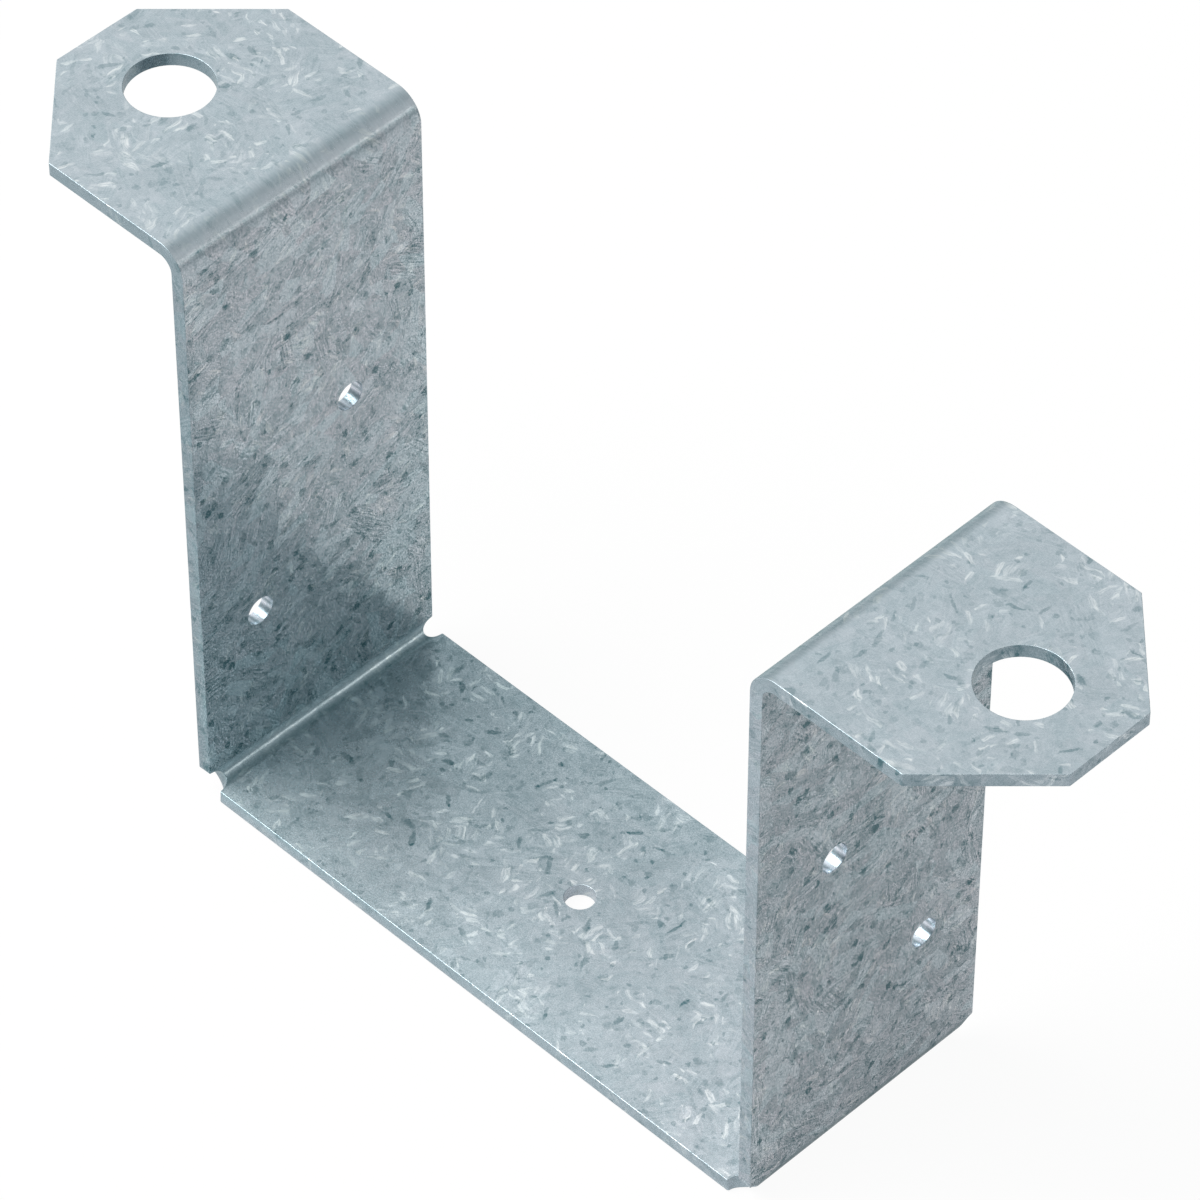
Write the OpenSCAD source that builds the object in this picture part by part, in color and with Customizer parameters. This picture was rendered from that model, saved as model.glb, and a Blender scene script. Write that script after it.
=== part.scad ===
// Deck post tie: one galvanised strap folded into a pocket with two bolting flanges.
// Millimetres. X runs from flange to flange, Y across the strap, Z up from the base's underside.
// The post lies along Y in the pocket, and the flange tops bear on the joist behind it.

/* [Sheet] */
// Thickness of the sheet
sheet_t = 1.9; // [1.5:0.1:3]
// Width of the strap
strap_w = 38.1; // [30:0.1:60]
// Inside radius of all four bends
bend_r = 1.9; // [1.8:0.1:3.5]

/* [Post pocket] */
// Clear width between the two legs
pocket_w = 90.5; // [60:0.5:145]
// Depth from the top of the base to the top of the flanges
pocket_d = 88.9; // [65:0.1:145]

/* [Flanges] */
// Reach of each flange beyond the outer face of its leg
flange_l = 33.35; // [26:0.05:60]
// Length cut off both edges at each outer corner of a flange
corner_cut = 12.7; // [3:0.1:14]
// Diameter of the bolt hole in each flange
bolt_d = 11.1; // [6:0.1:14]
// Distance from the end of the flange to the bolt hole's centre
bolt_edge = 12.7; // [9:0.1:15]

/* [Nail holes] */
// Diameter of the five nail holes
nail_d = 3.97; // [2.5:0.01:6]
// Height of the lower nail hole of each leg above the pocket's floor
nail_low_z = 23.8; // [12:0.1:35]
// Offset of the lower nail hole from the strap's centreline
nail_low_y = 9.5; // [0:0.1:11]
// Height of the upper nail hole of each leg above the pocket's floor
nail_high_z = 49.2; // [42:0.1:55]
// Offset of the upper nail hole from the centreline, to the other side
nail_high_y = 6.35; // [0:0.05:11]

/* [Bend relief] */
// Diameter of the round punch that notches both edges at each lower bend
relief_d = 3.97; // [2:0.01:4.2]

/* [Hidden] */
$fn = 96;

// How far a cutter runs past the face it leaves by
over = 1;
// Straight facets round each relief notch
relief_steps = 48;

// Outer radius of the bends, and the radius of the sheet's middle, which keeps its flat length
bend_out = bend_r + sheet_t;
bend_mid = bend_r + sheet_t / 2;

overall_h = pocket_d + sheet_t;
leg_x = pocket_w / 2;
outer_x = leg_x + sheet_t;
end_x = outer_x + flange_l;
bolt_x = end_x - bolt_edge;

// Axis of the lower bend, inside the pocket, and of the upper bend, under the flange
foot_x = leg_x - bend_r;
foot_z = sheet_t + bend_r;
head_x = outer_x + bend_r;
head_z = overall_h - sheet_t - bend_r;

// The relief cutter widens from inside the bend to beyond it, in line with the bend's axis
relief_near = bend_r / 2;
relief_far = bend_out + over;

// Angle round the bend, in degrees, of a length measured along the flat sheet
function bend_angle(flat) = flat / bend_mid * 180 / PI;

// Section of a bend: a quarter of a ring
module quarter_bend() {
    intersection() {
        difference() {
            circle(r = bend_out);
            circle(r = bend_r);
        }
        square(bend_out);
    }
}

// Section of the right half of the strap, with its height along the drawing's Y
module half_section() {
    square([foot_x, sheet_t]);
    translate([foot_x, foot_z]) rotate(-90) quarter_bend();
    translate([leg_x, foot_z]) square([sheet_t, head_z - foot_z]);
    translate([head_x, head_z]) rotate(90) quarter_bend();
    translate([head_x, overall_h - sheet_t]) square([end_x - head_x, sheet_t]);
}

// The folded strap before any hole, notch or corner is cut
module bent_sheet() {
    rotate([90, 0, 0])
        linear_extrude(strap_w, center = true)
            for (side = [0, 1]) mirror([side, 0]) half_section();
}

// A hole straight up through the sheet whose underside is at height z
module upright_hole(x, z, d) {
    translate([x, 0, z - over]) cylinder(d = d, h = sheet_t + 2 * over);
}

// A nail hole through the right leg
module leg_nail_hole(y, z) {
    translate([leg_x - over, y, z])
        rotate([0, 90, 0])
            cylinder(d = nail_d, h = sheet_t + 2 * over);
}

// The corner sheared off the right flange at its back edge
module corner_offcut() {
    translate([end_x, strap_w / 2, overall_h - sheet_t - over])
        linear_extrude(sheet_t + 2 * over)
            polygon([[over, over], [-corner_cut - over, over], [over, -corner_cut - over]]);
}

// The relief notch at the right bend's back edge. It was punched round in the flat sheet, so
// after the fold its rim wraps round the bend and its walls point at the bend's axis.
module relief_notch() {
    translate([foot_x, strap_w / 2, foot_z])
        rotate([0, 135, 0])
            translate([0, 0, relief_near])
                linear_extrude(relief_far - relief_near, scale = [relief_far / relief_near, 1],
                               slices = 1, $fn = 0)
                    polygon([
                        for (i = [0 : relief_steps - 1])
                            let (turn = 360 * i / relief_steps)
                            let (along = bend_angle(relief_d / 2 * cos(turn)))
                            [relief_near * tan(along), relief_d / 2 * sin(turn)]
                    ]);
}

// All that is cut from the right side of the strap
module side_cuts() {
    upright_hole(bolt_x, overall_h - sheet_t, bolt_d);
    leg_nail_hole(nail_low_y, sheet_t + nail_low_z);
    leg_nail_hole(-nail_high_y, sheet_t + nail_high_z);
    for (edge = [0, 1]) mirror([0, edge, 0]) {
        corner_offcut();
        relief_notch();
    }
}

// The whole tie. A half turn about Z carries one side onto the other, nail holes and all.
module folded_strap() {
    color([0.73, 0.78, 0.81])
    difference() {
        bent_sheet();
        upright_hole(0, 0, nail_d);
        for (turn = [0, 180]) rotate([0, 0, turn]) side_cuts();
    }
}

folded_strap();
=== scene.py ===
"""Looks of the deck post tie, a galvanised strap folded into a pocket with two flanges.

Everything is in metres, in the frame of the part: X from flange to flange, Y across the
strap, Z up from the underside of the base.
"""

import math

import bpy
import numpy as np
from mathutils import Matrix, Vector
from mathutils.geometry import delaunay_2d_cdt


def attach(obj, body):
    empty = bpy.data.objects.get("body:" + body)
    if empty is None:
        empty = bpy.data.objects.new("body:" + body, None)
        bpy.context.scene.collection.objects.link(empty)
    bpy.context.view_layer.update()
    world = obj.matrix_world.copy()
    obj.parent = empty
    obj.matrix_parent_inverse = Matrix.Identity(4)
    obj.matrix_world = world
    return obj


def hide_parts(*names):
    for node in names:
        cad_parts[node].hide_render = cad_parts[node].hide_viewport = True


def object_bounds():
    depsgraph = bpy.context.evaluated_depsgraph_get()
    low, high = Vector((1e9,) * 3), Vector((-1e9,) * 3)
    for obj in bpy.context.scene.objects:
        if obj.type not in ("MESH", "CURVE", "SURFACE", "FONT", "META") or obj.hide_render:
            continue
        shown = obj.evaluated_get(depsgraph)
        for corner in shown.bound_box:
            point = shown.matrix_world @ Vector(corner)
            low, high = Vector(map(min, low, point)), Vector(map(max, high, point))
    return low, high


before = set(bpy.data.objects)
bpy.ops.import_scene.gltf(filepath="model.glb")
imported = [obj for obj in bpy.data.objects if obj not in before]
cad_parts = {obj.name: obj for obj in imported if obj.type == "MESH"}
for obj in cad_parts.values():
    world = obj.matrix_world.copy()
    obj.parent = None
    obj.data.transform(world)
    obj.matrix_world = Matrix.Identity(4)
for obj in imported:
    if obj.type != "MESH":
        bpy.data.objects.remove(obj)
cad_low, cad_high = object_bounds()

# Sheet and bends
MM = 0.001
SHEET = 1.9 * MM
BEND_INSIDE = 1.9 * MM
BEND_MID = BEND_INSIDE + SHEET / 2
QUARTER = math.pi / 2
FULL_TURN = 2 * math.pi

# Reach of the strap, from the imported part's own box
HALF_WIDTH = cad_high.y
END_X = cad_high.x
HEIGHT = cad_high.z

# Pocket, flanges and holes. A nail hole has its height, and its place across the strap.
POCKET_HALF = 45.25 * MM
CORNER_CUT = 12.7 * MM
BOLT_RADIUS = 5.55 * MM
BOLT_EDGE = 12.7 * MM
NAIL_RADIUS = 1.985 * MM
NAIL_LOW = (25.7 * MM, 9.5 * MM)
NAIL_HIGH = (51.1 * MM, -6.35 * MM)
NOTCH_RADIUS = 1.985 * MM

# Axes of the bends
FOOT_X = POCKET_HALF - BEND_INSIDE
FOOT_Z = SHEET + BEND_INSIDE
HEAD_X = POCKET_HALF + SHEET + BEND_INSIDE
HEAD_Z = HEIGHT - SHEET - BEND_INSIDE

# Where each stretch ends, measured from the middle along the flat strap
S_FOOT = FOOT_X
S_LEG = S_FOOT + QUARTER * BEND_MID
S_HEAD = S_LEG + HEAD_Z - FOOT_Z
S_FLANGE = S_HEAD + QUARTER * BEND_MID
S_END = S_FLANGE + END_X - HEAD_X
NOTCH_AT = (S_FOOT + S_LEG) / 2

# Finish of the cut edges
EDGE_ROUND = 0.08 * MM
EDGE_STEPS = 4
CORNER_ROUND = 0.35 * MM
MOUTH_ROUND = 0.25 * MM
CORNER_STEPS = 6

# Fineness of the mesh. The columns are millimetres from the strap's long edges.
BEND_ROWS = 20
BOLT_STEPS = 96
NAIL_STEPS = 96
NOTCH_STEPS = 36
COLUMNS = (0.6, 1.2, 1.8, 2.3, 2.7, 3.3, 4.2, 6.0, 9.0, 13.0, 19.05)
COLUMN_GAP = 0.16 * MM
ROW_GAP = 7 * MM
SAME_PLACE = 0.001 * MM
SAME_POINT = 1e-6

# How near a wall a vertex counts as part of it, and how near a bend's end it counts as flat
WALL_SLACK = 2 * EDGE_ROUND
BEND_SLACK = 0.03 * MM

# How strong the crystals' contrast is, along the strap from its middle
BUSY = (
    (0.0, 1.42),
    (20 * MM, 1.2),
    (S_FOOT, 1.7),
    (S_FOOT + 0.3 * MM, 0.7),
    (S_LEG - 0.3 * MM, 0.9),
    (S_LEG, 2.2),
    (S_LEG + 30 * MM, 1.7),
    (S_HEAD, 1.6),
    (S_HEAD + 1.2 * MM, 1.0),
    (S_HEAD + 2.6 * MM, 0.45),
    (S_FLANGE - 0.3 * MM, 0.5),
    (S_FLANGE, 1.14),
    (S_END, 1.14),
)

# How much that contrast grows at a cut edge: on the right flange, and elsewhere
FLANGE_EDGE_BUSY = 0.2
EDGE_BUSY = -0.6

# Painted light and shade on the faces, as how much paler they are: inside the legs, up the outside
# of the legs, where the foot is paler against the shade near the floor, and along the base, which
# has more painted light at its near edge
PAINTED_LEG_INSIDE = 0.02
PAINTED_LEG_OUTSIDE = (
    (S_LEG, 0.03),
    (S_LEG + 15 * MM, -0.05),
    (S_LEG + 40 * MM, -0.1),
)
PAINTED_BASE_LIGHT = (
    (-42 * MM, 0.05),
    (-25 * MM, -0.08),
    (-5 * MM, -0.08),
    (15 * MM, 0.04),
)
NEAR_EDGE = ((-HALF_WIDTH, 1.0), (0.0, 0.0))
PAINTED_NEAR_EDGE_LIGHT = ((-S_FOOT, 0.16), (S_FOOT, 0.07))

# Painted teal on the pocket side round the left lower bend, for the colour of the shade reflected
# back and forth between the base and the left leg
PAINTED_TEAL_ALONG = (
    (-S_LEG - 40 * MM, 0.0),
    (-S_LEG - 12 * MM, 1.0),
    (-S_FOOT + 12 * MM, 1.0),
    (0.0, 0.0),
)

# How far round the left upper bend the leg's finish reaches, as a share of the bend
LEG_FINISH_END = 0.42

# Painted highlight and shade bands round the bends: paler bands are painted highlights and darker
# ones painted shade that mutes the lamps' highlights. Each bend has the half of the strap, its
# side and its two ends. Each band has its middle and half its width, as shares of the way from the
# first end to the second, and how much paler it is.
PAINTED_BEND_BANDS = (
    (1, 1, S_HEAD, S_FLANGE, ((0.4, 0.52, -0.68),)),
    (-1, 1, S_HEAD, S_FLANGE, (
        (0.08, 0.08, 0.11),
        (0.4, 0.06, -0.24),
        (0.52, 0.12, 0.27),
        (0.78, 0.17, -0.17),
    )),
    (1, -1, S_FOOT, S_LEG, ((0.5, 0.18, -0.48), (0.85, 0.17, -0.5))),
    (-1, 1, S_FOOT, S_LEG, ((0.22, 0.2, -0.42), (0.5, 0.14, 0.26))),
)

# How much paler the cut edges are, along the strap, and the walls of the holes: partly the cut
# steel's own duller tone and partly painted shade that tames the edges' highlights, part by part
WALL_TONES = (
    (-S_FLANGE, -0.28),
    (-S_HEAD, -0.32),
    (-S_LEG, -0.3),
    (-S_FOOT, -0.1),
    (S_HEAD, -0.11),
    (S_FLANGE, -0.22),
)
BOLT_WALL = -0.35
NAIL_WALL = -0.1
BASE_WALL = 0.15

# Painted reflection down the walls of the legs' nail holes: pale and dark stripes either side of a
# plain part, itself painted darker to mute its reflection. The values are the way that the plain
# part faces, how it gives way to the stripes, how many stripes there would be all round, and how
# much paler the stripes and the plain part are
SHEEN_MIDDLE = math.radians(33.5)
SHEEN_PLAIN = ((math.radians(10), 1.0), (math.radians(28), 0.0))
SHEEN_STRIPES = 12
SHEEN_STRIPE_TONE = 0.32
SHEEN_STRIPE_SWING = 0.42
SHEEN_PLAIN_TONE = -0.12

# The two sides and the edges take their grain from places this far apart in the pattern
BACK_SHIFT = 97.0 * MM
EDGE_SHIFT = 211.0 * MM
LOOP_SHIFT = 23.0 * MM


def at_places(where, table):
    """Reads a table of places and values, straight between its rows and level past its ends."""
    places, values = zip(*table)
    return np.interp(where, places, values)


def fold(flat):
    """Places (along, across, depth) of the flat strap on the folded one.

    Returns the places, the directions along the strap and out of the pocket side, and how
    much the sheet is stretched along the strap there.
    """
    along, across, depth = flat.T
    side = np.where(along < 0, -1.0, 1.0)
    reach = np.abs(along)
    foot = np.clip((reach - S_FOOT) / BEND_MID, 0, QUARTER)
    head = np.clip((reach - S_HEAD) / BEND_MID, 0, QUARTER)
    tilt = foot - head
    mid_x = np.minimum(reach, S_FOOT) + BEND_MID * np.sin(foot)
    mid_x += BEND_MID * (1 - np.cos(head)) + np.clip(reach - S_FLANGE, 0, None)
    mid_z = SHEET / 2 + BEND_MID * (1 - np.cos(foot))
    mid_z += np.clip(reach - S_LEG, 0, S_HEAD - S_LEG) + BEND_MID * np.sin(head)
    x = side * (mid_x - depth * np.sin(tilt))
    z = mid_z + depth * np.cos(tilt)
    none = np.zeros_like(x)
    tangent = np.stack([np.cos(tilt), none, side * np.sin(tilt)], 1)
    normal = np.stack([-side * np.sin(tilt), none, np.cos(tilt)], 1)
    in_foot = (foot > 0) & (foot < QUARTER)
    in_head = (head > 0) & (head < QUARTER)
    stretch = 1 - depth / BEND_MID * in_foot + depth / BEND_MID * in_head
    return np.stack([x, across, z], 1), tangent, normal, stretch


def fold_normals(flat, normals):
    """Turns normals of the flat strap into normals of the folded one."""
    _, tangent, normal, stretch = fold(flat)
    turned = tangent * (normals[:, 0] / stretch)[:, None] + normal * normals[:, 2:3]
    turned[:, 1] += normals[:, 1]
    return turned / np.linalg.norm(turned, axis=1)[:, None]


def arc(centre, radius, start, turn, steps, outward=1):
    """Points and normals along an arc. Outward is -1 where the metal is outside the arc."""
    angles = start + turn * np.linspace(0, 1, steps + 1)
    spokes = np.stack([np.cos(angles), np.sin(angles)], 1)
    return np.array(centre) + radius * spokes, outward * spokes


def rounded_corner(before, corner, after):
    """The arc that rounds off an outward corner of an outline that runs anticlockwise."""
    before, corner, after = map(np.array, (before, corner, after))
    go_in = (corner - before) / np.linalg.norm(corner - before)
    go_out = (after - corner) / np.linalg.norm(after - corner)
    turn = math.atan2(go_in[0] * go_out[1] - go_in[1] * go_out[0], go_in @ go_out)
    back = CORNER_ROUND * math.tan(turn / 2)
    outward = np.array([go_in[1], -go_in[0]])
    centre = corner - go_in * back - outward * CORNER_ROUND
    return arc(centre, CORNER_ROUND, math.atan2(outward[1], outward[0]), turn, CORNER_STEPS)


def flange_corners(walk):
    """The two rounded corners of half a flange, from four points along its outline."""
    return [rounded_corner(*walk[:-1]), rounded_corner(*walk[1:])]


def notch(along):
    """A round notch in the strap's edge, from right to left, with its mouth eased."""
    reach = NOTCH_RADIUS + MOUTH_ROUND
    offset = math.sqrt(reach**2 - MOUTH_ROUND**2)
    low = HALF_WIDTH - MOUTH_ROUND
    swing = math.asin(MOUTH_ROUND / reach)
    ease = QUARTER - swing
    return [
        arc((along + offset, low), MOUTH_ROUND, QUARTER, ease, CORNER_STEPS),
        arc((along, HALF_WIDTH), NOTCH_RADIUS, -swing, 2 * swing - math.pi, NOTCH_STEPS, -1),
        arc((along - offset, low), MOUTH_ROUND, swing, ease, CORNER_STEPS),
    ]


def straight_edge(along):
    """One point of the strap's straight far edge."""
    return np.array([[along, HALF_WIDTH]]), np.array([[0.0, 1.0]])


def bend_rows():
    """Places along the strap, on both sides of the middle, of the rows that round each bend."""
    rows = []
    for start in (S_FOOT, S_HEAD):
        steps = start + QUARTER * BEND_MID * np.linspace(0, 1, BEND_ROWS + 1)
        rows.extend(steps)
        rows.extend(-steps)
    return sorted(rows)


def half_outline():
    """Points and normals of the far edge, from the right end's middle to the left end's."""
    cut = S_END - CORNER_CUT
    low = HALF_WIDTH - CORNER_CUT
    right = [(S_END, 0), (S_END, low), (cut, HALF_WIDTH), (0, HALF_WIDTH)]
    left = [(-along, across) for along, across in reversed(right)]
    rows = [s for s in reversed(bend_rows()) if abs(s) >= S_HEAD]
    parts = flange_corners(right)
    parts += [straight_edge(s) for s in rows if s > 0]
    parts += notch(NOTCH_AT)
    parts += notch(-NOTCH_AT)
    parts += [straight_edge(s) for s in rows if s < 0]
    parts += flange_corners(left)
    points = np.concatenate([p for p, _ in parts])
    normals = np.concatenate([n for _, n in parts])
    return points, normals


def outline():
    """The whole outline of the flat strap, anticlockwise, with no point twice."""
    points, normals = half_outline()
    points = np.concatenate([points, -points])
    normals = np.concatenate([normals, -normals])
    steps = np.linalg.norm(np.roll(points, -1, 0) - points, axis=1)
    return points[steps > SAME_PLACE], normals[steps > SAME_PLACE]


def hole(centre, radius, steps):
    """A round hole, clockwise, so that the metal lies to its left as it does for the outline."""
    points, normals = arc(centre, radius, 0, -FULL_TURN, steps, -1)
    return points[:-1], normals[:-1]


def leg_nail_holes(side):
    """Centres of the two nail holes in one leg, on the flat strap."""
    return [(side * (S_LEG + height - FOOT_Z), side * across)
            for height, across in (NAIL_LOW, NAIL_HIGH)]


def all_loops():
    """The outline and every hole."""
    loops = [outline(), hole((0, 0), NAIL_RADIUS, NAIL_STEPS)]
    for side in (1, -1):
        loops.append(hole((side * (S_END - BOLT_EDGE), 0), BOLT_RADIUS, BOLT_STEPS))
        loops += [hole(centre, NAIL_RADIUS, NAIL_STEPS) for centre in leg_nail_holes(side)]
    return loops


def inside(points, loop):
    """Which points lie inside a closed loop."""
    x, y = points.T
    ax, ay = loop.T
    bx, by = np.roll(loop, -1, 0).T
    crosses = (ay[:, None] > y) != (by[:, None] > y)
    with np.errstate(divide="ignore", invalid="ignore"):
        at = ax[:, None] + (y - ay[:, None]) / (by - ay)[:, None] * (bx - ax)[:, None]
    return (crosses & (x < at)).sum(0) % 2 == 1


def row_points(rims):
    """Points inside the bends, in rows across the strap, clear of every edge."""
    across = [HALF_WIDTH - c * MM for c in COLUMNS]
    across = sorted(set(across + [-a for a in across]))
    rims = np.concatenate(rims)
    rows = []
    for s in bend_rows():
        row = np.array([(s, a) for a in across])
        gap = np.linalg.norm(row[:, None] - rims[None], axis=2).min(1)
        from_notch = np.abs(np.abs(s) - NOTCH_AT)
        depth = HALF_WIDTH - np.abs(row[:, 1])
        clear_of_notch = np.hypot(from_notch, depth) > NOTCH_RADIUS + EDGE_ROUND + COLUMN_GAP
        rows.append(row[(gap > COLUMN_GAP) & clear_of_notch])
    return rows


def triangles(points, chains, rims):
    """Triangles over the metal between the rims, with every chain kept as edges."""
    verts = [Vector(p) for p in points / MM]
    made = delaunay_2d_cdt(verts, chains, [], 0, SAME_POINT)
    first = [origin[0] for origin in made[3]]
    faces = np.array([[first[i] for i in face] for face in made[2]])
    centres = points[faces].mean(1)
    keep = inside(centres, rims[0])
    for rim in rims[1:]:
        keep &= ~inside(centres, rim)
    faces = faces[keep]
    a, b, c = (points[faces[:, i]] for i in range(3))
    area = (b - a)[:, 0] * (c - a)[:, 1] - (b - a)[:, 1] * (c - a)[:, 0]
    faces[area < 0] = faces[area < 0][:, ::-1]
    return faces


def edge_section():
    """Steps from the pocket side over the rounded edge to the back.

    Returns how far out each step is, its depth, both parts of its normal and the length walked.
    """
    turns = QUARTER * np.linspace(0, 1, EDGE_STEPS + 1)
    reach = EDGE_ROUND * (np.sin(turns) - 1)
    depth = SHEET / 2 - EDGE_ROUND * (1 - np.cos(turns))
    reach = np.concatenate([reach, reach[::-1]])
    depth = np.concatenate([depth, -depth[::-1]])
    out = np.concatenate([np.sin(turns), np.sin(turns)[::-1]])
    up = np.concatenate([np.cos(turns), -np.cos(turns)[::-1]])
    walked = np.hypot(np.diff(reach), np.diff(depth)).cumsum()
    return reach, depth, out, up, np.concatenate([[0], walked])


def painted_bend_shading(flat):
    """How much paler the zinc is at each vertex for the painted highlight and shade bands round
    the bends.
    """
    along, _, depth = flat.T
    reach = np.abs(along)
    bend_shading = np.zeros(len(flat))
    for half, face, start, end, bands in PAINTED_BEND_BANDS:
        here = (reach > start + BEND_SLACK) & (reach < end - BEND_SLACK)
        here &= (half * along > 0) & (face * depth > 0)
        way = (reach - start) / (end - start)
        for middle, spread, paler in bands:
            bend_shading += here * paler * np.clip(1 - np.abs(way - middle) / spread, 0, None)
    return bend_shading


def painted_face_light(flat, on_leg):
    """Painted light and shade on the flat faces at each vertex, on the legs and on the base."""
    along, across, depth = flat.T
    reach = np.abs(along)
    leg = np.where(depth > 0, PAINTED_LEG_INSIDE, at_places(reach, PAINTED_LEG_OUTSIDE))
    base = at_places(along, PAINTED_BASE_LIGHT)
    base += at_places(across, NEAR_EDGE) * at_places(along, PAINTED_NEAR_EDGE_LIGHT)
    on_base = reach < S_FOOT + BEND_SLACK
    return np.where(on_leg, leg, 0.0) + np.where(on_base, base, 0.0)


def painted_hole_sheen(flat):
    """How much paler the walls of the legs' nail holes are at each vertex, as painted reflection
    stripes and a plain part painted darker.
    """
    sheen = np.zeros(len(flat))
    for side in (1, -1):
        for centre in leg_nail_holes(side):
            x, y = (flat[:, :2] - centre).T
            turn = np.arctan2(y, -side * x) - SHEEN_MIDDLE
            turn = (turn + math.pi) % FULL_TURN - math.pi
            plain = at_places(np.abs(turn), SHEEN_PLAIN)
            stripe = SHEEN_STRIPE_TONE + SHEEN_STRIPE_SWING * np.cos(SHEEN_STRIPES * turn)
            at_hole = np.hypot(x, y) < NAIL_RADIUS + WALL_SLACK
            sheen += at_hole * (stripe * (1 - plain) + SHEEN_PLAIN_TONE * plain)
    return sheen


def wall_tones(flat):
    """How much paler than the faces the cut edge would be at each vertex: partly the cut steel's
    own tone and partly painted shade.
    """
    along, across, _ = flat.T
    tones = at_places(along, WALL_TONES)
    tones[np.abs(across) < HALF_WIDTH - CORNER_CUT / 2] = NAIL_WALL
    tones[np.hypot(along, across) < 2 * NAIL_RADIUS] = BASE_WALL
    bolt = np.hypot(np.abs(along) - S_END + BOLT_EDGE, across)
    tones[bolt < BOLT_RADIUS + WALL_SLACK] = BOLT_WALL
    return tones


def strap_values(flat, edge):
    """What the material reads at each vertex.

    It is how far the vertex is a cut edge, a bend or a leg, how strong the contrast is there,
    how much painted teal the reflected shade has, and how much paler, which is mostly painted
    light and shade.
    """
    along, _, depth = flat.T
    reach = np.abs(along)
    in_foot = (reach > S_FOOT + BEND_SLACK) & (reach < S_LEG - BEND_SLACK)
    in_head = (reach > S_HEAD + BEND_SLACK) & (reach < S_FLANGE - BEND_SLACK)
    on_leg = (reach > S_LEG - BEND_SLACK) & (reach < S_HEAD + BEND_SLACK)
    finish_end = S_HEAD + LEG_FINISH_END * (S_FLANGE - S_HEAD)
    leg_finish = in_head & (along < 0) & (depth > 0) & (reach < finish_end)
    edge_busy = np.where(along < S_FLANGE, EDGE_BUSY, FLANGE_EDGE_BUSY)
    # Painted light and shade on the faces, and painted highlight and shade bands round the bends
    faces = painted_face_light(flat, on_leg) + painted_bend_shading(flat)
    # The cut edges' own tone with painted shade, and painted reflection stripes in the legs' nail
    # holes
    walls = wall_tones(flat) + painted_hole_sheen(flat)
    return {
        "edge": edge,
        "bend": in_foot | in_head,
        "leg": on_leg | leg_finish,
        "busy": at_places(reach, BUSY) * (1 + edge_busy * edge),
        "painted_teal": at_places(along, PAINTED_TEAL_ALONG) * (depth > 0),
        # lift: painted light and shade on the faces, bends and hole walls, with the cut edges' own
        # tone
        "lift": faces * (1 - edge) + walls * edge,
    }


class StrapMesh:
    """Gathers the flat strap's vertices, faces and pattern places, then folds them."""

    def __init__(self):
        self.flat = []
        self.normals = []
        self.edge = []
        self.faces = []
        self.places = []
        self.count = 0

    def add_vertices(self, flat, normals, edge):
        """Adds vertices and returns their numbers."""
        numbers = np.arange(self.count, self.count + len(flat))
        self.count += len(flat)
        self.flat.append(flat)
        self.normals.append(normals)
        self.edge.append(np.full(len(flat), edge))
        return numbers

    def add_face(self, corners, places):
        """Adds a face with the pattern place of each corner."""
        self.faces.append([int(c) for c in corners])
        self.places.extend(places)

    def build(self, name):
        """Folds the strap and makes the Blender mesh."""
        flat = np.concatenate(self.flat)
        normals = fold_normals(flat, np.concatenate(self.normals))
        mesh = bpy.data.meshes.new(name)
        mesh.from_pydata(fold(flat)[0].tolist(), [], self.faces)
        layer = mesh.uv_layers.new(name="strap")
        layer.data.foreach_set("uv", np.array(self.places, np.float32).ravel())
        for key, values in strap_values(flat, np.concatenate(self.edge)).items():
            attribute = mesh.attributes.new(key, "FLOAT", "POINT")
            attribute.data.foreach_set("value", values.astype(np.float32))
        mesh.polygons.foreach_set("use_smooth", [True] * len(mesh.polygons))
        mesh.normals_split_custom_set_from_vertices(normals.tolist())
        mesh.validate()
        mesh.update()
        return mesh


def add_side(strap, plane, faces, sign, shift):
    """Adds one side of the sheet and returns its vertex numbers."""
    depth = np.full((len(plane), 1), sign * SHEET / 2)
    normals = np.tile([0.0, 0.0, float(sign)], (len(plane), 1))
    numbers = strap.add_vertices(np.hstack([plane, depth]), normals, 0.0)
    for face in faces if sign > 0 else faces[:, ::-1]:
        places = [(plane[i, 0], plane[i, 1] + shift) for i in face]
        strap.add_face(numbers[face], places)
    return numbers


def add_wall(strap, loop, top, bottom, shift):
    """Adds the rounded edge and the wall that join the two sides along one loop."""
    points, outward = loop
    reach, depth, out, up, walked = edge_section()
    rings = [top]
    for r, d, o, u in list(zip(reach, depth, out, up))[1:-1]:
        flat = np.hstack([points + outward * r, np.full((len(points), 1), d)])
        normals = np.hstack([outward * o, np.full((len(points), 1), u)])
        rings.append(strap.add_vertices(flat, normals, o))
    rings.append(bottom)
    steps = np.linalg.norm(np.roll(points, -1, 0) - points, axis=1)
    length = np.concatenate([[0], steps.cumsum()])
    for upper, lower, v0, v1 in zip(rings, rings[1:], walked, walked[1:]):
        for i in range(len(points)):
            j = (i + 1) % len(points)
            corners = (upper[i], lower[i], lower[j], upper[j])
            u0, u1 = length[i], length[i + 1]
            places = [(u0, shift + v0), (u0, shift + v1), (u1, shift + v1), (u1, shift + v0)]
            strap.add_face(corners, places)


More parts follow.
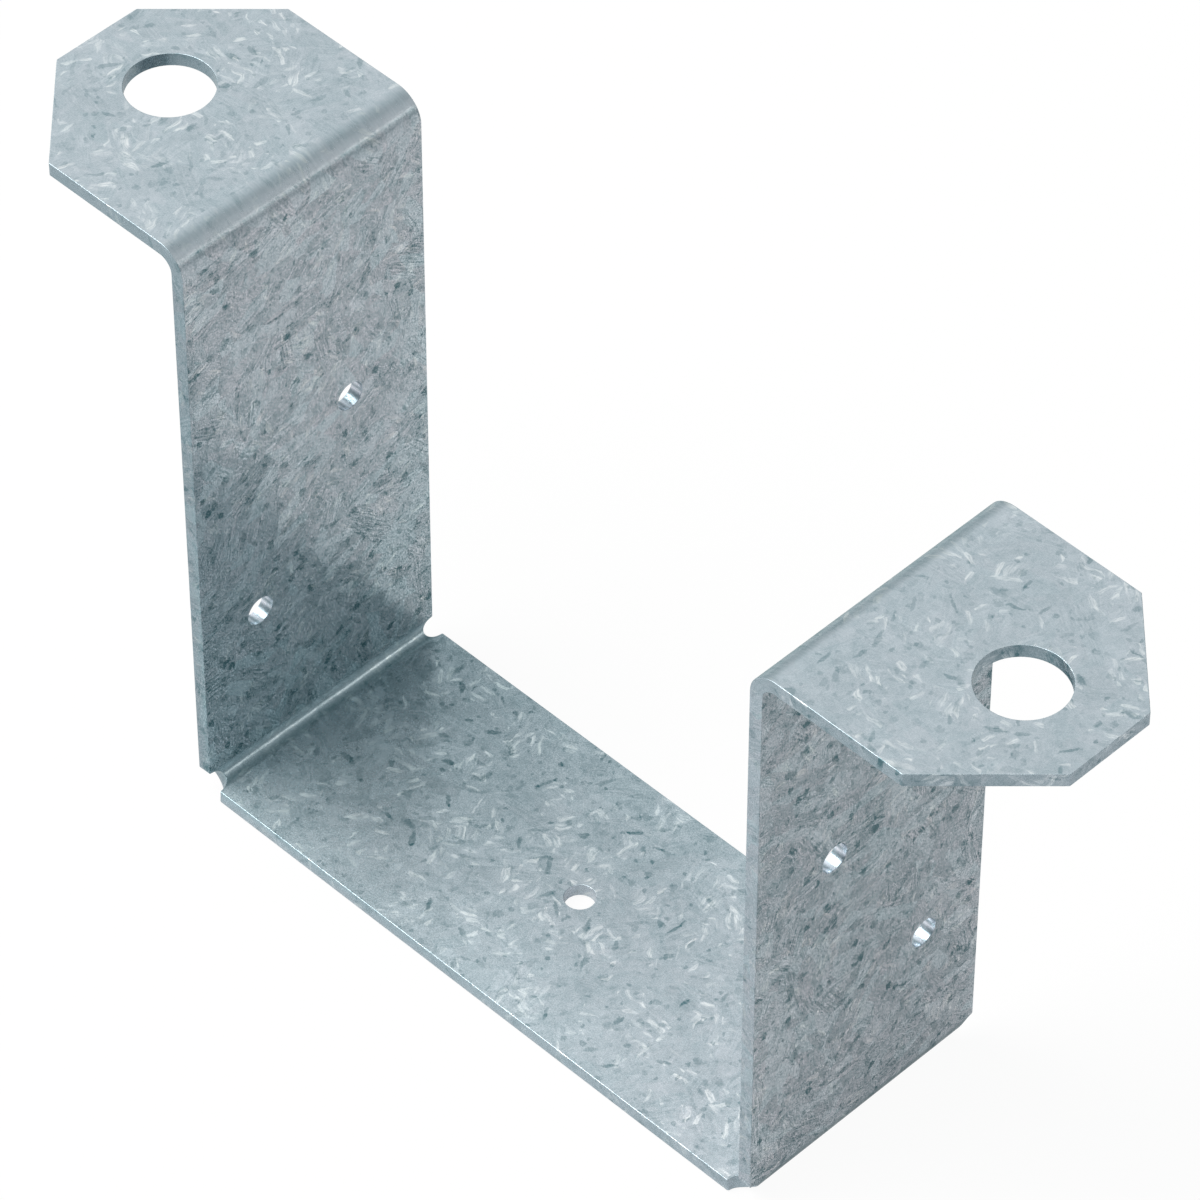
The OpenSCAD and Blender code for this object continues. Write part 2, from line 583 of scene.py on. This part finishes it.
def folded_strap():
    """The whole folded strap as one closed mesh."""
    loops = all_loops()
    rims = [points - normals * EDGE_ROUND for points, normals in loops]
    rows = row_points(rims)
    plane = np.concatenate(rims + rows)
    chains = []
    starts = []
    start = 0
    for rim in rims:
        count = len(rim)
        starts.append(start)
        chains += [(start + i, start + (i + 1) % count) for i in range(count)]
        start += count
    for row in rows:
        chains += [(start + i, start + i + 1) for i in range(len(row) - 1)
                   if row[i + 1, 1] - row[i, 1] < ROW_GAP]
        start += len(row)
    faces = triangles(plane, chains, rims)
    strap = StrapMesh()
    top = add_side(strap, plane, faces, 1, 0.0)
    bottom = add_side(strap, plane, faces, -1, BACK_SHIFT)
    for number, (loop, first) in enumerate(zip(loops, starts)):
        span = slice(first, first + len(loop[0]))
        add_wall(strap, loop, top[span], bottom[span], EDGE_SHIFT + number * LOOP_SHIFT)
    return strap.build("galvanised_strap")


# Scattered cells: how a shift moves their places sideways, and how far apart their keys are
CELL_SKEW = 1.7
KEY_SPREAD = 91.0


class Graph:
    """Adds shader nodes and joins them. An input is a number, a tuple or another node's output."""

    def __init__(self, tree):
        self.tree = tree
        tree.nodes.clear()

    def add(self, kind, inputs=None, **settings):
        """A node of that kind, with its settings and inputs."""
        node = self.tree.nodes.new(kind)
        for key, value in settings.items():
            setattr(node, key, value)
        for key, value in (inputs or {}).items():
            self.join(node.inputs[key], value)
        return node

    def join(self, socket, value):
        """Links a node's output to a socket, or sets the socket's own value."""
        if isinstance(value, bpy.types.NodeSocket):
            self.tree.links.new(value, socket)
        else:
            socket.default_value = value

    def math(self, operation, *values, clamp=False):
        """One step of arithmetic on numbers."""
        node = self.add("ShaderNodeMath", operation=operation, use_clamp=clamp)
        for socket, value in zip(node.inputs, values):
            self.join(socket, value)
        return node.outputs[0]

    def product(self, *values):
        """The values multiplied together, from left to right."""
        result = values[0]
        for value in values[1:]:
            result = self.math("MULTIPLY", result, value)
        return result

    def total(self, start, terms):
        """A start and a sum of values, each with its own strength."""
        result = start
        for value, strength in terms:
            result = self.math("MULTIPLY_ADD", value, strength, result)
        return result

    def between(self, value, low, high):
        """Goes from low, where the value is 0, to high, where it is 1."""
        return self.math("MULTIPLY_ADD", value, high - low, low)

    def centred(self, value):
        """The value less a half, so that it runs as far below 0 as above it."""
        return self.math("SUBTRACT", value, 0.5)

    def ramp(self, value, low, high, to_low=0.0, to_high=1.0):
        """A smooth step from one value to another, as the input goes from low to high."""
        inputs = {
            "Value": value,
            "From Min": low,
            "From Max": high,
            "To Min": to_low,
            "To Max": to_high,
        }
        return self.add("ShaderNodeMapRange", inputs, interpolation_type="SMOOTHSTEP").outputs[0]

    def vector(self, operation, *values):
        """One step of arithmetic on vectors."""
        node = self.add("ShaderNodeVectorMath", operation=operation)
        for socket, value in zip(node.inputs, values):
            self.join(socket, value)
        return node.outputs["Value" if operation in ("LENGTH", "DOT_PRODUCT") else "Vector"]

    def scaled(self, vector, factor):
        """The vector times a number."""
        inputs = {"Vector": vector, "Scale": factor}
        return self.add("ShaderNodeVectorMath", inputs, operation="SCALE").outputs["Vector"]

    def turned(self, vector, share):
        """The vector turned by a share of a full turn."""
        inputs = {"Vector": vector, "Angle": self.math("MULTIPLY", share, FULL_TURN)}
        return self.add("ShaderNodeVectorRotate", inputs, rotation_type="Z_AXIS").outputs[0]

    def split(self, vector):
        """The three parts of a vector."""
        node = self.add("ShaderNodeSeparateXYZ", {"Vector": vector})
        return node.outputs[0], node.outputs[1], node.outputs[2]

    def combine(self, x=0.0, y=0.0, z=0.0):
        """A vector from its parts."""
        return self.add("ShaderNodeCombineXYZ", {"X": x, "Y": y, "Z": z}).outputs[0]

    def noise(self, vector, scale, detail=1.0, rough=0.5, colour=False):
        """Cloudy noise, as a number or as three in one vector."""
        inputs = {"Vector": vector, "Scale": scale, "Detail": detail, "Roughness": rough}
        node = self.add("ShaderNodeTexNoise", inputs, noise_dimensions="2D")
        return node.outputs["Color" if colour else "Fac"]

    def streaks(self, vector, squeeze, **noise):
        """Noise drawn out along the first axis."""
        return self.noise(self.vector("MULTIPLY", vector, (squeeze, 1.0, 0.0)), **noise)

    def dice(self, vector):
        """Three random numbers from 0 to 1 for each different vector."""
        node = self.add("ShaderNodeTexWhiteNoise", {"Vector": vector}, noise_dimensions="3D")
        return self.split(node.outputs["Color"])

    def cells(self, place, size, shift):
        """Scattered cells: the place measured from its cell's centre, and the cell's own key."""
        moved = self.vector("ADD", place, (shift, CELL_SKEW * shift, 0.0))
        inputs = {"Vector": moved, "Scale": 1.0 / size, "Randomness": 1.0}
        node = self.add("ShaderNodeTexVoronoi", inputs, voronoi_dimensions="2D")
        key = self.scaled(node.outputs["Color"], KEY_SPREAD)
        key = self.vector("ADD", key, (shift, 0.0, 0.0))
        return self.vector("SUBTRACT", moved, node.outputs["Position"]), key


# Shape of one crystal: its reach in its own size, and where it fades
SLIVER_REACH = 0.6
SLIVER_FADE = (0.4, 1.0)
CHIP_REACH = 0.62
CHIP_RAGGED = 0.6
CHIP_FADE = (0.72, 0.98)
CHIP_DEPTH = (0.25, 1.0)

# Shape of one fleck: the least and most of its half length and half width, in its own radius
FLECK_LENGTH = (0.6, 3.6)
FLECK_WIDTH = (0.45, 0.95)
FLECK_FADE = (0.35, 1.0)
FLECK_DEPTH = (0.4, 1.0)
FLECK_KEY = (0.0, 0.0, 9.0)


def brushed(g, place, size, shift):
    """The place turned another way in every patch."""
    local, key = g.cells(place, size, shift)
    spin, _, _ = g.dice(key)
    return g.vector("ADD", g.turned(local, spin), key)


def slivers(g, place, length, width, shift):
    """Slender crystals side by side, drawn out along the first axis of the place given.

    Returns a mask that fades towards each crystal's rim, and its own three random numbers.
    """
    squeezed = g.vector("MULTIPLY", place, (width / length, 1.0, 0.0))
    local, key = g.cells(squeezed, width, shift)
    far = g.math("DIVIDE", g.vector("LENGTH", local), SLIVER_REACH * width)
    return g.ramp(far, *SLIVER_FADE, 1.0, 0.0), *g.dice(key)


def flecks(g, place, ragged, share, size, radius, shift):
    """Small dark specks of dross, some round and some drawn out."""
    local, key = g.cells(place, size, shift)
    spin, long, wide = g.dice(key)
    keep, depth, _ = g.dice(g.vector("ADD", key, FLECK_KEY))
    x, y, _ = g.split(g.turned(local, spin))
    limit_x = g.between(long, *(radius * reach for reach in FLECK_LENGTH))
    limit_y = g.between(wide, *(radius * reach for reach in FLECK_WIDTH))
    across = g.combine(g.math("DIVIDE", x, limit_x), g.math("DIVIDE", y, limit_y))
    far = g.vector("DOT_PRODUCT", across, across)
    mask = g.ramp(g.math("ADD", far, ragged), *FLECK_FADE, 1.0, 0.0)
    mask = g.product(mask, g.math("LESS_THAN", keep, share))
    return g.product(mask, g.between(depth, *FLECK_DEPTH))


def chips(g, place, ragged, size, shift, share):
    """Dark angular crystals with a worn rim, and the shade of every crystal of that size."""
    local, key = g.cells(place, size, shift)
    keep, depth, shade = g.dice(key)
    far = g.math("DIVIDE", g.vector("LENGTH", local), CHIP_REACH * size)
    far = g.math("MULTIPLY_ADD", ragged, CHIP_RAGGED, far)
    mask = g.product(g.ramp(far, *CHIP_FADE, 1.0, 0.0), g.math("LESS_THAN", keep, share))
    return g.product(mask, g.between(g.product(depth, depth), *CHIP_DEPTH)), g.centred(shade)


# Zinc's pattern, in millimetres. A shift only moves one layer of it away from the others.
WANDER = {"scale": 0.5, "colour": True}
CURLED = 0.9
STRAIGHTER = 0.3
RAGS = {"scale": 3.2, "rough": 0.6}
RAGGED = 2.8

# Broad crystals side by side in patches, with combs of dark lines in some
SHARD_PATCHES = {"size": 7.0, "shift": 53.3}
SHARDS = {"length": 4.4, "width": 1.8, "shift": 41.7}
PALE_SHARDS = (0.62, 0.7)
COMB_LINES = {"squeeze": 0.08, "scale": 3.8}
COMB_TONES = (0.36, 0.64, 0.8, -1.2)
COMBED_ABOVE = 0.72

# Pale strokes in clusters, with hair lines through them, and how many cells hold a stroke
STROKE_PATCHES = {"size": 3.0, "shift": 61.9}
STROKES = {"length": 3.0, "width": 0.7, "shift": 71.3}
CLUSTERS = {"scale": 0.15}
CLUSTERED = (0.47, 0.56)
STROKE_SHARE = (0.03, 0.53)
HAIRS = {"squeeze": 0.12, "scale": 5.6, "detail": 2.0, "rough": 0.6}
HAIR_TONES = (0.3, 0.6, 0.3, 1.2)

# Dark dashes, fewer on the tops than on the legs, and chips of two sizes
DASHES = {"size": 3.0, "radius": 0.52, "shift": 67.1}
DASH_RAGGED = 0.4
DASH_SHARE = (0.4, 0.5)
BIG_CHIPS = {"size": 1.15, "shift": 73.3, "share": 0.1}
SMALL_CHIPS = {"size": 0.6, "shift": 79.9, "share": 0.1}

# Even layers: slow clouds, blotches, fine grain and the lines drawn out round the bends
CLOUDS = {"scale": 0.13}
BLOTCHES = {"scale": 1.1}
GRAIN = {"scale": 4.2, "detail": 2.0, "rough": 0.7}
GRAIN_EVERYWHERE = 0.32
GRAIN_ON_LEG = 0.95
# The grain is stronger where the painted teal shade lies
GRAIN_WHERE_PAINTED_TEAL = 0.5
DRAWN_LINES = {"squeeze": 0.12, "scale": 4.5}

# How strong some layers are, off the legs and on them
COMBED_BY_LEG = (0.4, 1.0)
CREAM_BY_LEG = (1.0, 0.0)
HAIR_BY_LEG = (0.3, 1.0)
STROKE_BY_LEG = (0.95, 0.4)
DASH_BY_LEG = (0.95, 0.5)
CHIPS_BY_LEG = (0.5, 1.0)
HUE_BY_LEG = (0.4, 1.0)

# How much paler each layer makes the crystals
CRYSTAL_START = -0.025
CRYSTAL_TONES = {
    "shard": 0.08,
    "pale": 0.04,
    "shade": 0.06,
    "big_shade": 0.04,
    "hair": 0.4,
    "small_shade": 0.03,
    "cream": 0.03,
    "strokes": 0.4,
    "combed": 0.11,
    "dashes": -0.3,
    "big_chips": -0.34,
    "small_chips": -0.24,
    "cloud": 0.1,
    "blotch": 0.13,
    "grain": 0.82,
}

# Tone of the zinc, and its colour: red falls fastest as the tone does, blue slowest
TONE_START = 1.02
DRAWN_TONE = 0.22
DARKEST = 0.3
RED = 0.395
RED_BY_TONE = (-0.22, 1.0)
RED_BY_HUE = 0.39
GREEN = 0.45
BLUE = 0.487
BLUE_BY_TONE = (0.03, 1.0)
BLUE_BY_STROKE = -0.02
BLUE_BY_EDGE = 0.012
SHADE_HUE = 0.03
SHARD_HUE = 0.05
# Hue shifts: warmer on the legs, cooler on pale shards, painted teal in the reflected shade, and
# cooler on the cut edges
WARMER = {"leg": 0.03, "pale": -0.05, "painted_teal": -0.1, "edge": -0.03}

# Gloss and relief
METALLIC = 0.65
ROUGHNESS = 0.27
ROUGHER = {"crystals": -0.12, "bend": -0.02, "rim": 0.6, "raw_grain": 0.1}
FACET_TILT = 0.035
LUMPS = {"scale": 1.4, "rough": 0.6}
LUMP_STRENGTH = 0.1
LUMP_HEIGHT = 0.05 * MM
RIM_CALM = -3.6


def read_strap(g):
    """The values that the mesh carries, and where the rims of the cut edges are."""
    zinc = {}
    # lift carries the painted light and shade, painted_teal the painted teal of the reflected
    # shade
    for name in ("edge", "bend", "leg", "busy", "lift", "painted_teal"):
        zinc[name] = g.add("ShaderNodeAttribute", attribute_name=name).outputs["Fac"]
    zinc["rim"] = g.product(zinc["edge"], g.math("SUBTRACT", 1.0, zinc["edge"]))
    return zinc


def read_places(g, zinc):
    """The place on the flat strap in millimetres, plain, slightly bent and well bent."""
    place = g.add("ShaderNodeUVMap", uv_map="strap").outputs["UV"]
    place = g.scaled(place, 1 / MM)
    wander = g.vector("SUBTRACT", g.noise(place, **WANDER), (0.5, 0.5, 0.5))
    zinc["place"] = place
    zinc["straighter"] = g.vector("ADD", place, g.scaled(wander, STRAIGHTER))
    zinc["curled"] = g.vector("ADD", place, g.scaled(wander, CURLED))
    zinc["ragged"] = g.math("MULTIPLY_ADD", g.noise(place, **RAGS), RAGGED, -RAGGED / 2)


def add_shards(g, zinc):
    """Broad crystals side by side in patches, with combs of dark lines in some."""
    patches = brushed(g, zinc["straighter"], **SHARD_PATCHES)
    _, shard, hue, comb = slivers(g, patches, **SHARDS)
    combed = g.ramp(g.streaks(patches, **COMB_LINES), *COMB_TONES)
    combed = g.product(combed, g.math("GREATER_THAN", comb, COMBED_ABOVE))
    zinc["pale"] = g.product(g.ramp(shard, *PALE_SHARDS), zinc["leg"])
    zinc["shard"] = g.centred(shard)
    zinc["shard_hue"] = g.centred(hue)
    zinc["combed"] = g.product(combed, g.between(zinc["leg"], *COMBED_BY_LEG))


def add_strokes(g, zinc):
    """Pale strokes in clusters, and hair lines."""
    patches = brushed(g, zinc["curled"], **STROKE_PATCHES)
    mask, stroke, keep, shade = slivers(g, patches, **STROKES)
    clustered = g.ramp(g.noise(zinc["place"], **CLUSTERS), *CLUSTERED)
    hair = g.streaks(patches, **HAIRS)
    hairs = g.ramp(hair, *HAIR_TONES)
    kept = g.math("LESS_THAN", keep, g.between(clustered, *STROKE_SHARE))
    stroke = g.product(mask, g.product(stroke, hairs))
    zinc["raw_stroke"] = g.product(stroke, kept)
    zinc["strokes"] = g.product(zinc["raw_stroke"], g.between(zinc["leg"], *STROKE_BY_LEG))
    zinc["cream"] = g.product(clustered, hairs, g.between(zinc["leg"], *CREAM_BY_LEG))
    zinc["hair"] = g.product(g.centred(hair), g.between(zinc["leg"], *HAIR_BY_LEG))
    zinc["shade"] = g.centred(shade)


def add_dark_marks(g, zinc):
    """Dark dashes, and chips of two sizes."""
    curled, ragged = zinc["curled"], zinc["ragged"]
    share = g.between(zinc["leg"], *DASH_SHARE)
    dashes = flecks(g, curled, g.product(ragged, DASH_RAGGED), share, **DASHES)
    big, zinc["big_shade"] = chips(g, curled, ragged, **BIG_CHIPS)
    zinc["small_chips"], zinc["small_shade"] = chips(g, curled, ragged, **SMALL_CHIPS)
    zinc["dashes"] = g.product(dashes, g.between(zinc["leg"], *DASH_BY_LEG))
    zinc["big_chips"] = g.product(big, g.between(zinc["leg"], *CHIPS_BY_LEG))


def add_even_layers(g, zinc):
    """Slow clouds, blotches, fine grain, and the lines drawn out round the bends."""
    leg_and_painted_teal = [(zinc["leg"], GRAIN_ON_LEG), (zinc["painted_teal"], GRAIN_WHERE_PAINTED_TEAL)]
    zinc["cloud"] = g.centred(g.noise(zinc["place"], **CLOUDS))
    zinc["blotch"] = g.centred(g.noise(zinc["place"], **BLOTCHES))
    zinc["raw_grain"] = g.centred(g.noise(zinc["place"], **GRAIN))
    zinc["grain"] = g.product(zinc["raw_grain"], g.total(GRAIN_EVERYWHERE, leg_and_painted_teal))
    zinc["drawn"] = g.product(g.centred(g.streaks(zinc["place"], **DRAWN_LINES)), zinc["bend"])


def named_terms(zinc, strengths):
    """Pairs of a layer and its strength, from a table of names and strengths."""
    return [(zinc[name], strength) for name, strength in strengths.items()]


def zinc_colour(g, zinc):
    """Blue-grey that turns teal where it is dark, and warmer on the legs, with the painted light,
    shade and teal laid in.
    """
    tone = g.math("MULTIPLY_ADD", zinc["crystals"], zinc["busy"], TONE_START)
    # The lift lays the painted light and shade into the tone
    tone = g.total(tone, [(zinc["drawn"], DRAWN_TONE), (zinc["lift"], 1.0)])
    tone = g.math("MAXIMUM", tone, DARKEST)
    hue = g.math("MULTIPLY_ADD", zinc["shade"], SHADE_HUE, g.product(zinc["shard_hue"], SHARD_HUE))
    hue = g.product(hue, g.between(zinc["leg"], *HUE_BY_LEG))
    # This adds the painted teal of the reflected shade round the left lower bend
    hue = g.total(hue, named_terms(zinc, WARMER))
    red = g.product(g.between(tone, *RED_BY_TONE), g.math("MULTIPLY_ADD", hue, RED_BY_HUE, RED))
    green = g.product(tone, GREEN)
    blue = g.total(BLUE, [(zinc["raw_stroke"], BLUE_BY_STROKE), (zinc["edge"], BLUE_BY_EDGE)])
    return g.combine(red, green, g.product(g.between(tone, *BLUE_BY_TONE), blue))


def zinc_normal(g, zinc):
    """Each crystal tilted its own way over low lumps, all of it calmer on the rims."""
    calm = g.math("MULTIPLY_ADD", zinc["rim"], RIM_CALM, 1.0)
    tilt = g.product(zinc["busy"], FACET_TILT, calm)
    facet = g.scaled(g.combine(zinc["shade"], zinc["shard"], zinc["shard_hue"]), tilt)
    level = g.add("ShaderNodeNewGeometry").outputs["Normal"]
    level = g.vector("NORMALIZE", g.vector("ADD", level, facet))
    bump = g.add("ShaderNodeBump", {
        "Height": g.noise(zinc["place"], **LUMPS),
        "Strength": g.product(calm, LUMP_STRENGTH),
        "Distance": LUMP_HEIGHT,
        "Normal": level,
    })
    return bump.outputs["Normal"]


def galvanised():
    """Hot-dip zinc: feathery crystals in blue-grey tones, dross specks and a satin gloss."""
    material = bpy.data.materials.new("galvanised_sheet")
    material.use_nodes = True
    g = Graph(material.node_tree)
    zinc = read_strap(g)
    for add_layers in (read_places, add_shards, add_strokes, add_dark_marks, add_even_layers):
        add_layers(g, zinc)
    zinc["crystals"] = g.total(CRYSTAL_START, named_terms(zinc, CRYSTAL_TONES))
    shader = g.add("ShaderNodeBsdfPrincipled", {
        "Base Color": zinc_colour(g, zinc),
        "Metallic": METALLIC,
        "Specular IOR Level": 0.0,
        "Roughness": g.total(ROUGHNESS, named_terms(zinc, ROUGHER)),
        "Normal": zinc_normal(g, zinc),
    })
    g.add("ShaderNodeOutputMaterial", {"Surface": shader.outputs[0]})
    return material


# Floor: its colour as light falls on it, how much of it the camera and the metal see as white,
# and how bright that white is in the metal
FLOOR_SIZE = 6.0
FLOOR_GAP = 0.2 * MM
FLOOR_ALBEDO = 0.56
FLOOR_SEEN = 0.95
FLOOR_MIRRORED = 0.66
FLOOR_DIMMED = 0.87
WHITE = (1.0, 1.0, 1.0, 1.0)


def floor_material():
    """A pale floor that the camera sees as white, and that keeps a faint shadow."""
    material = bpy.data.materials.new("studio_floor")
    material.use_nodes = True
    g = Graph(material.node_tree)
    rays = g.add("ShaderNodeLightPath").outputs
    seen = g.math("ADD", rays["Is Camera Ray"], rays["Is Transmission Ray"], clamp=True)
    share = g.product(seen, FLOOR_SEEN)
    share = g.math("MULTIPLY_ADD", rays["Is Glossy Ray"], FLOOR_MIRRORED, share, clamp=True)
    plain = g.add("ShaderNodeBsdfDiffuse", {"Color": (FLOOR_ALBEDO,) * 3 + (1.0,)})
    level = g.between(rays["Is Glossy Ray"], 1.0, FLOOR_DIMMED)
    white = g.add("ShaderNodeEmission", {"Color": WHITE, "Strength": level})
    mixed = g.add("ShaderNodeMixShader", {0: share, 1: plain.outputs[0], 2: white.outputs[0]})
    below = g.add("ShaderNodeNewGeometry").outputs["Backfacing"]
    clear = g.add("ShaderNodeBsdfTransparent")
    final = g.add("ShaderNodeMixShader", {0: below, 1: mixed.outputs[0], 2: clear.outputs[0]})
    g.add("ShaderNodeOutputMaterial", {"Surface": final.outputs[0]})
    return material


def add_floor():
    """A large flat floor just under the base."""
    half = FLOOR_SIZE / 2
    corners = [(-half, -half), (half, -half), (half, half), (-half, half)]
    mesh = bpy.data.meshes.new("floor")
    mesh.from_pydata([(x, y, -FLOOR_GAP) for x, y in corners], [], [(0, 1, 2, 3)])
    mesh.materials.append(floor_material())
    floor = bpy.data.objects.new("floor", mesh)
    bpy.context.scene.collection.objects.link(floor)


# Light. Each soft light has its place, width, height, brightness and tint.
WORLD_LEVEL = 0.36
WORLD_TINT = (0.86, 1.0, 1.05, 1.0)
LIGHT_AIM = (0.0, 0.0, 0.04)
SOFTBOXES = (
    ((-0.67, -0.60, 1.60), 1.4, 1.2, 12.3, (1.03, 1.0, 0.97)),
    ((-0.82, 0.82, 1.42), 1.8, 1.4, 0.28, (1.0, 1.0, 1.0)),
    ((1.45, 0.83, 0.71), 1.7, 0.3, 1.75, (1.08, 1.0, 0.94)),
)


def add_softbox(place, width, height, brightness, tint):
    """A rectangular soft light of that brightness, facing the object."""
    light = bpy.data.lights.new("softbox", "AREA")
    light.shape = "RECTANGLE"
    light.size = width
    light.size_y = height
    light.energy = brightness * math.pi * width * height
    light.color = tint
    lamp = bpy.data.objects.new("softbox", light)
    lamp.location = place
    aim = Vector(LIGHT_AIM) - Vector(place)
    lamp.rotation_euler = aim.to_track_quat("-Z", "Y").to_euler()
    lamp.visible_camera = False
    bpy.context.scene.collection.objects.link(lamp)


def add_world():
    """Even studio light from all round."""
    world = bpy.data.worlds.new("studio")
    world.use_nodes = True
    bpy.context.scene.world = world
    g = Graph(world.node_tree)
    sky = g.add("ShaderNodeBackground", {"Color": WORLD_TINT, "Strength": WORLD_LEVEL})
    g.add("ShaderNodeOutputWorld", {"Surface": sky.outputs[0]})


# Camera
CAMERA_AT = (0.41314006, -0.41133798, 0.65914428)
CAMERA_TURN = (0.76659226, -0.00117675, 0.78472869)
SENSOR = 36.0
LENS = 217.271767
NEAREST = 0.01
FARTHEST = 50.0


def add_camera():
    """The camera, at the viewing angle of the picture that the part was made from."""
    lens = bpy.data.cameras.new("camera")
    lens.sensor_width = SENSOR
    lens.lens = LENS
    lens.clip_start = NEAREST
    lens.clip_end = FARTHEST
    camera = bpy.data.objects.new("camera", lens)
    camera.location = CAMERA_AT
    camera.rotation_euler = CAMERA_TURN
    bpy.context.scene.collection.objects.link(camera)
    bpy.context.scene.camera = camera


def add_strap():
    """The folded strap, in its zinc, in place of the part's own solid."""
    mesh = folded_strap()
    mesh.materials.append(galvanised())
    strap = bpy.data.objects.new("galvanised_strap", mesh)
    bpy.context.scene.collection.objects.link(strap)
    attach(strap, "root")
    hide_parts("folded_strap")


add_camera()
add_world()
add_floor()
for softbox in SOFTBOXES:
    add_softbox(*softbox)
add_strap()

bpy.context.scene.view_settings.view_transform = "Standard"

bpy.context.view_layer.update()
